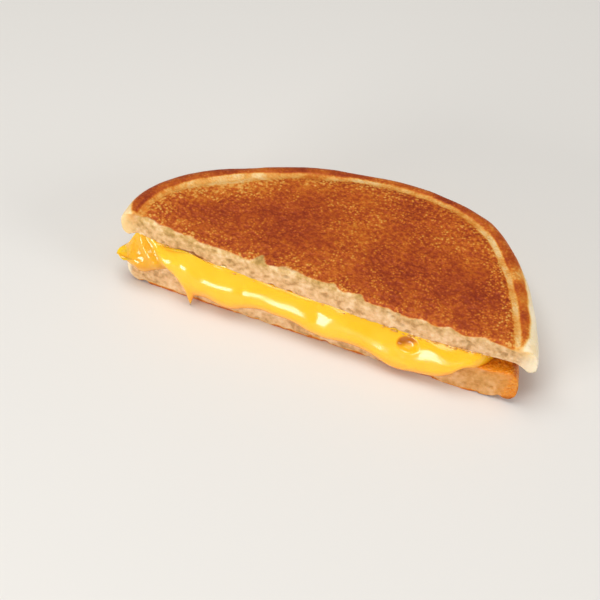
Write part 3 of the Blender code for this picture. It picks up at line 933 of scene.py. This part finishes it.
def pan_fried_bread():
    """White bread fried in butter: one ramp runs from crumb to deep brown, and pearls catch the light.

    Frying dries the face into blisters about 1 mm across, lighter on top and darker between them; the
    lighter tops are partly their golden colour and partly painted highlight, and on the lower slice's
    oily inner face the same speckle gives painted glints. The crumb is matt, cream to beige, with
    greyish-olive mottles of 2 to 4 mm and painted shade in its pores, and is made darker at the lower
    slice's right end. Texture scales count for each metre.
    """
    material, shader = new_material("pan_fried_bread", 0.5)
    tree = material.node_tree
    calc, tint = partial(calculate, tree), partial(mix, tree)
    place = add(tree, "ShaderNodeTexCoord").outputs["Object"]
    field = {
        name: add(tree, "ShaderNodeAttribute", attribute_name=name).outputs["Fac"]
        for name in ("toast", "speckle", "crumb", "pore", "oil")
    }

    def unevenness(scale, detail, low, high):
        """Noise from -1 to 1, taken from the given range of a noise texture."""
        inputs = {"Vector": place, "Scale": scale, "Detail": detail}
        fac = add(tree, "ShaderNodeTexNoise", inputs).outputs["Fac"]
        return add(tree, "ShaderNodeMapRange", {0: fac, 1: low, 2: high, 3: -1.0, 4: 1.0}).outputs[0]

    pearls = add(tree, "ShaderNodeTexVoronoi", {"Vector": place, "Scale": 950.0}, feature="F1")
    reach = {0: pearls.outputs["Distance"], 1: 0.12, 2: 0.55, 3: 1.0, 4: 0.0}
    crest = add(tree, "ShaderNodeMapRange", reach).outputs[0]
    grain = unevenness(700.0, 2.0, 0.36, 0.64)
    clustered = calc("MULTIPLY_ADD", unevenness(170.0, 1.0, 0.35, 0.65), 0.7, 1.1)
    # Grains lighten the pearls' tops, partly golden colour and partly painted highlight, and darken
    # between them
    grains = calc("MULTIPLY_ADD", crest, clustered, calc("MULTIPLY_ADD", grain, 0.5, -0.35))
    browning = calc("SUBTRACT", field["toast"], calc("MULTIPLY", grains, field["speckle"]))
    browning = calc("MULTIPLY_ADD", unevenness(230.0, 2.0, 0.3, 0.7), -0.035, browning)
    browning = calc("MAXIMUM", browning, calc("MINIMUM", field["toast"], 0.3))
    browned = ramp(tree, browning, [
        (0.0, "#f6ead0"), (0.14, "#edcd92"), (0.28, "#e3a552"), (0.42, "#d27f28"), (0.56, "#bd5c14"),
        (0.7, "#a2410f"), (0.85, "#83290a"), (1.0, "#561706"),
    ])

    coarse = calc("MULTIPLY_ADD", unevenness(260.0, 1.0, 0.3, 0.7), 0.22, 0.5)
    mottle = calc("MULTIPLY_ADD", unevenness(650.0, 2.0, 0.3, 0.7), 0.2, coarse)
    places = (0.2, 0.42, 0.6, 0.8)
    torn = ramp(tree, mottle, list(zip(places, ("#b98d5c", "#d9ad7a", "#e4bb8c", "#ecc99e"))))
    olive = ramp(tree, mottle, list(zip(places, ("#a88446", "#c59c5c", "#d9b074", "#e8c896"))))
    torn = tint(calc("MULTIPLY", field["toast"], 2.0), torn, olive)
    # Painted shade in the pores, and a darker crumb at the lower slice's right end
    torn = tint(calc("MULTIPLY", field["pore"], 0.5), torn, linear("#a67f4c"))
    colour = tint(field["crumb"], browned, torn)
    colour = tint(calc("MULTIPLY", field["oil"], 0.7), colour, linear("#e88811"))

    rough = calc("MULTIPLY_ADD", grain, -0.07, 0.5)
    rough = calc("SUBTRACT", rough, calc("MULTIPLY", field["oil"], 0.3))
    rough = calc("ADD", rough, calc("MULTIPLY", field["crumb"], 0.3))
    blisters = calc("MULTIPLY", grains, calc("ADD", field["speckle"], 0.25))
    pits = calc("MULTIPLY", calc("SUBTRACT", mottle, 0.5), calc("MULTIPLY", field["crumb"], 1.4))
    height = calc("ADD", blisters, pits)
    bump = add(tree, "ShaderNodeBump", {"Strength": 0.7, "Distance": 0.0004, "Height": height})
    tree.links.new(colour, shader.inputs["Base Color"])
    tree.links.new(rough, shader.inputs["Roughness"])
    tree.links.new(bump.outputs["Normal"], shader.inputs["Normal"])
    shader.inputs["IOR"].default_value = 1.45
    shader.inputs["Specular IOR Level"].default_value = 0.25
    shader.inputs["Subsurface Weight"].default_value = 0.12
    shader.inputs["Subsurface Radius"].default_value = (1.0, 0.45, 0.2)
    shader.inputs["Subsurface Scale"].default_value = 0.0015
    return material


def melted_cheddar():
    """Melted processed cheddar: oily and smooth, so it gleams in long streaks. Light goes some 3 mm in.

    It is deeper in colour in the thin film. Low on its lobes, where they turn under, and on the popped
    bubble's upper-left inner wall a deeper orange is painted shade.
    """
    material, shader = new_material("melted_cheddar", 0.2)
    tree = material.node_tree
    place = add(tree, "ShaderNodeTexCoord").outputs["Object"]
    swirl = add(tree, "ShaderNodeTexNoise", {"Vector": place, "Scale": 90.0, "Detail": 2.0})
    colour = ramp(tree, swirl.outputs["Fac"], [(0.3, "#fdba1a"), (0.7, "#ffc230")])
    # Painted shade low on the bulge and on the bubble's upper-left inner wall, and the thin film's own
    # deeper colour
    tints = (("low", 0.9, "#f29505"), ("thin", 0.7, "#d6981c"), ("pit", 0.95, "#b96400"))
    for name, share, code in tints:
        field = add(tree, "ShaderNodeAttribute", attribute_name=name).outputs["Fac"]
        colour = mix(tree, calculate(tree, "MULTIPLY", field, share), colour, linear(code))
    ripple = add(tree, "ShaderNodeTexNoise", {"Vector": place, "Scale": 260.0, "Detail": 2.0})
    dents = {"Strength": 0.08, "Distance": 0.0004, "Height": ripple.outputs["Fac"]}
    bump = add(tree, "ShaderNodeBump", dents)
    tree.links.new(colour, shader.inputs["Base Color"])
    tree.links.new(bump.outputs["Normal"], shader.inputs["Normal"])
    shader.inputs["IOR"].default_value = 1.46
    shader.inputs["Subsurface Weight"].default_value = 0.5
    shader.inputs["Subsurface Radius"].default_value = (1.0, 0.55, 0.08)
    shader.inputs["Subsurface Scale"].default_value = 0.003
    shader.inputs["Specular IOR Level"].default_value = 0.3
    shader.inputs["Coat Weight"].default_value = 0.55
    shader.inputs["Coat Roughness"].default_value = 0.1
    return material


def crisp_crumb():
    """Fried crumb: golden brown, crisp and a little oily."""
    material, shader = new_material("crisp_fried_crumb", 0.45)
    shader.inputs["Base Color"].default_value = linear("#e3a44a")
    return material


def studio_board():
    """Painted board under the food: plain, pale and matt."""
    material, shader = new_material("matt_painted_board", 0.85)
    shader.inputs["Base Color"].default_value = linear("#e4e1dc")
    return material


# ---------------------------------------------------------------- the studio

FLOOR_HALF = 1.5  # half the floor's side, in metres


def area_light(name, place, aim, width, height, watts):
    """A soft box at a place, in metres, turned to its aim."""
    data = bpy.data.lights.new(name, "AREA")
    data.shape = "RECTANGLE"
    data.size, data.size_y = width, height
    data.energy = watts
    lamp = bpy.data.objects.new(name, data)
    bpy.context.scene.collection.objects.link(lamp)
    lamp.location = place
    lamp.rotation_euler = (Vector(aim) - Vector(place)).to_track_quat("-Z", "Y").to_euler()


def studio():
    """A pale floor, a large soft box overhead, a long one in front and an even fill."""
    mesh = bpy.data.meshes.new("floor")
    corners = [(x * FLOOR_HALF, y * FLOOR_HALF, 0) for x, y in ((-1, -1), (1, -1), (1, 1), (-1, 1))]
    mesh.from_pydata(corners, [], [(0, 1, 2, 3)])
    mesh.materials.append(studio_board())
    floor = bpy.data.objects.new("floor", mesh)
    bpy.context.scene.collection.objects.link(floor)
    area_light("overhead_box", (-0.1, -0.1, 0.9), (0.0, 0.0, 0.01), 0.7, 0.6, 5.2)
    area_light("front_box", (-0.34, -0.7, 0.17), (-0.02, -0.03, 0.01), 0.34, 0.25, 3.5)
    area_light("right_box", (0.8, -0.1, 0.35), (0.03, 0.0, 0.01), 0.4, 0.4, 2.2)
    world = bpy.data.worlds.new("studio")
    world.use_nodes = True
    background = world.node_tree.nodes["Background"]
    background.inputs["Color"].default_value = linear("#f4f2ee")
    background.inputs["Strength"].default_value = 0.32
    bpy.context.scene.world = world
    bpy.context.scene.view_settings.view_transform = "Standard"


def camera():
    """A camera that looks down on the cut from a little to its right, turned slightly about its axis."""
    azimuth, elevation, roll = radians(22.93), radians(45.81), radians(1.3)
    distance = 591.1
    aim = np.array([-7.26, 0.05, 15.0]) + CUT_FRAME
    away = np.array([sin(azimuth) * cos(elevation), -cos(azimuth) * cos(elevation), sin(elevation)])
    data = bpy.data.cameras.new("camera")
    data.lens = 106.03
    data.sensor_width = 36.0
    thing = bpy.data.objects.new("camera", data)
    bpy.context.scene.collection.objects.link(thing)
    turn = Vector(-away).to_track_quat("-Z", "Y").to_matrix() @ Matrix.Rotation(roll, 3, "Z")
    thing.matrix_world = Matrix.Translation((aim + distance * away) * MM) @ turn.to_4x4()
    bpy.context.scene.camera = thing


# ---------------------------------------------------------------- the sandwich

bread = pan_fried_bread()
piece("fried_upper_slice", *upper_slice(), bread, node="bread_top", slot="browned_bread")
piece("fried_lower_slice", *lower_slice(), bread, node="bread_bottom", slot="bread_crumb")
piece("melted_cheese_layer", *melted_layer(), melted_cheddar(), node="cheese", slot="melted_cheese")
piece("fried_crumbs", *fried_crumbs(), crisp_crumb())
studio()
camera()
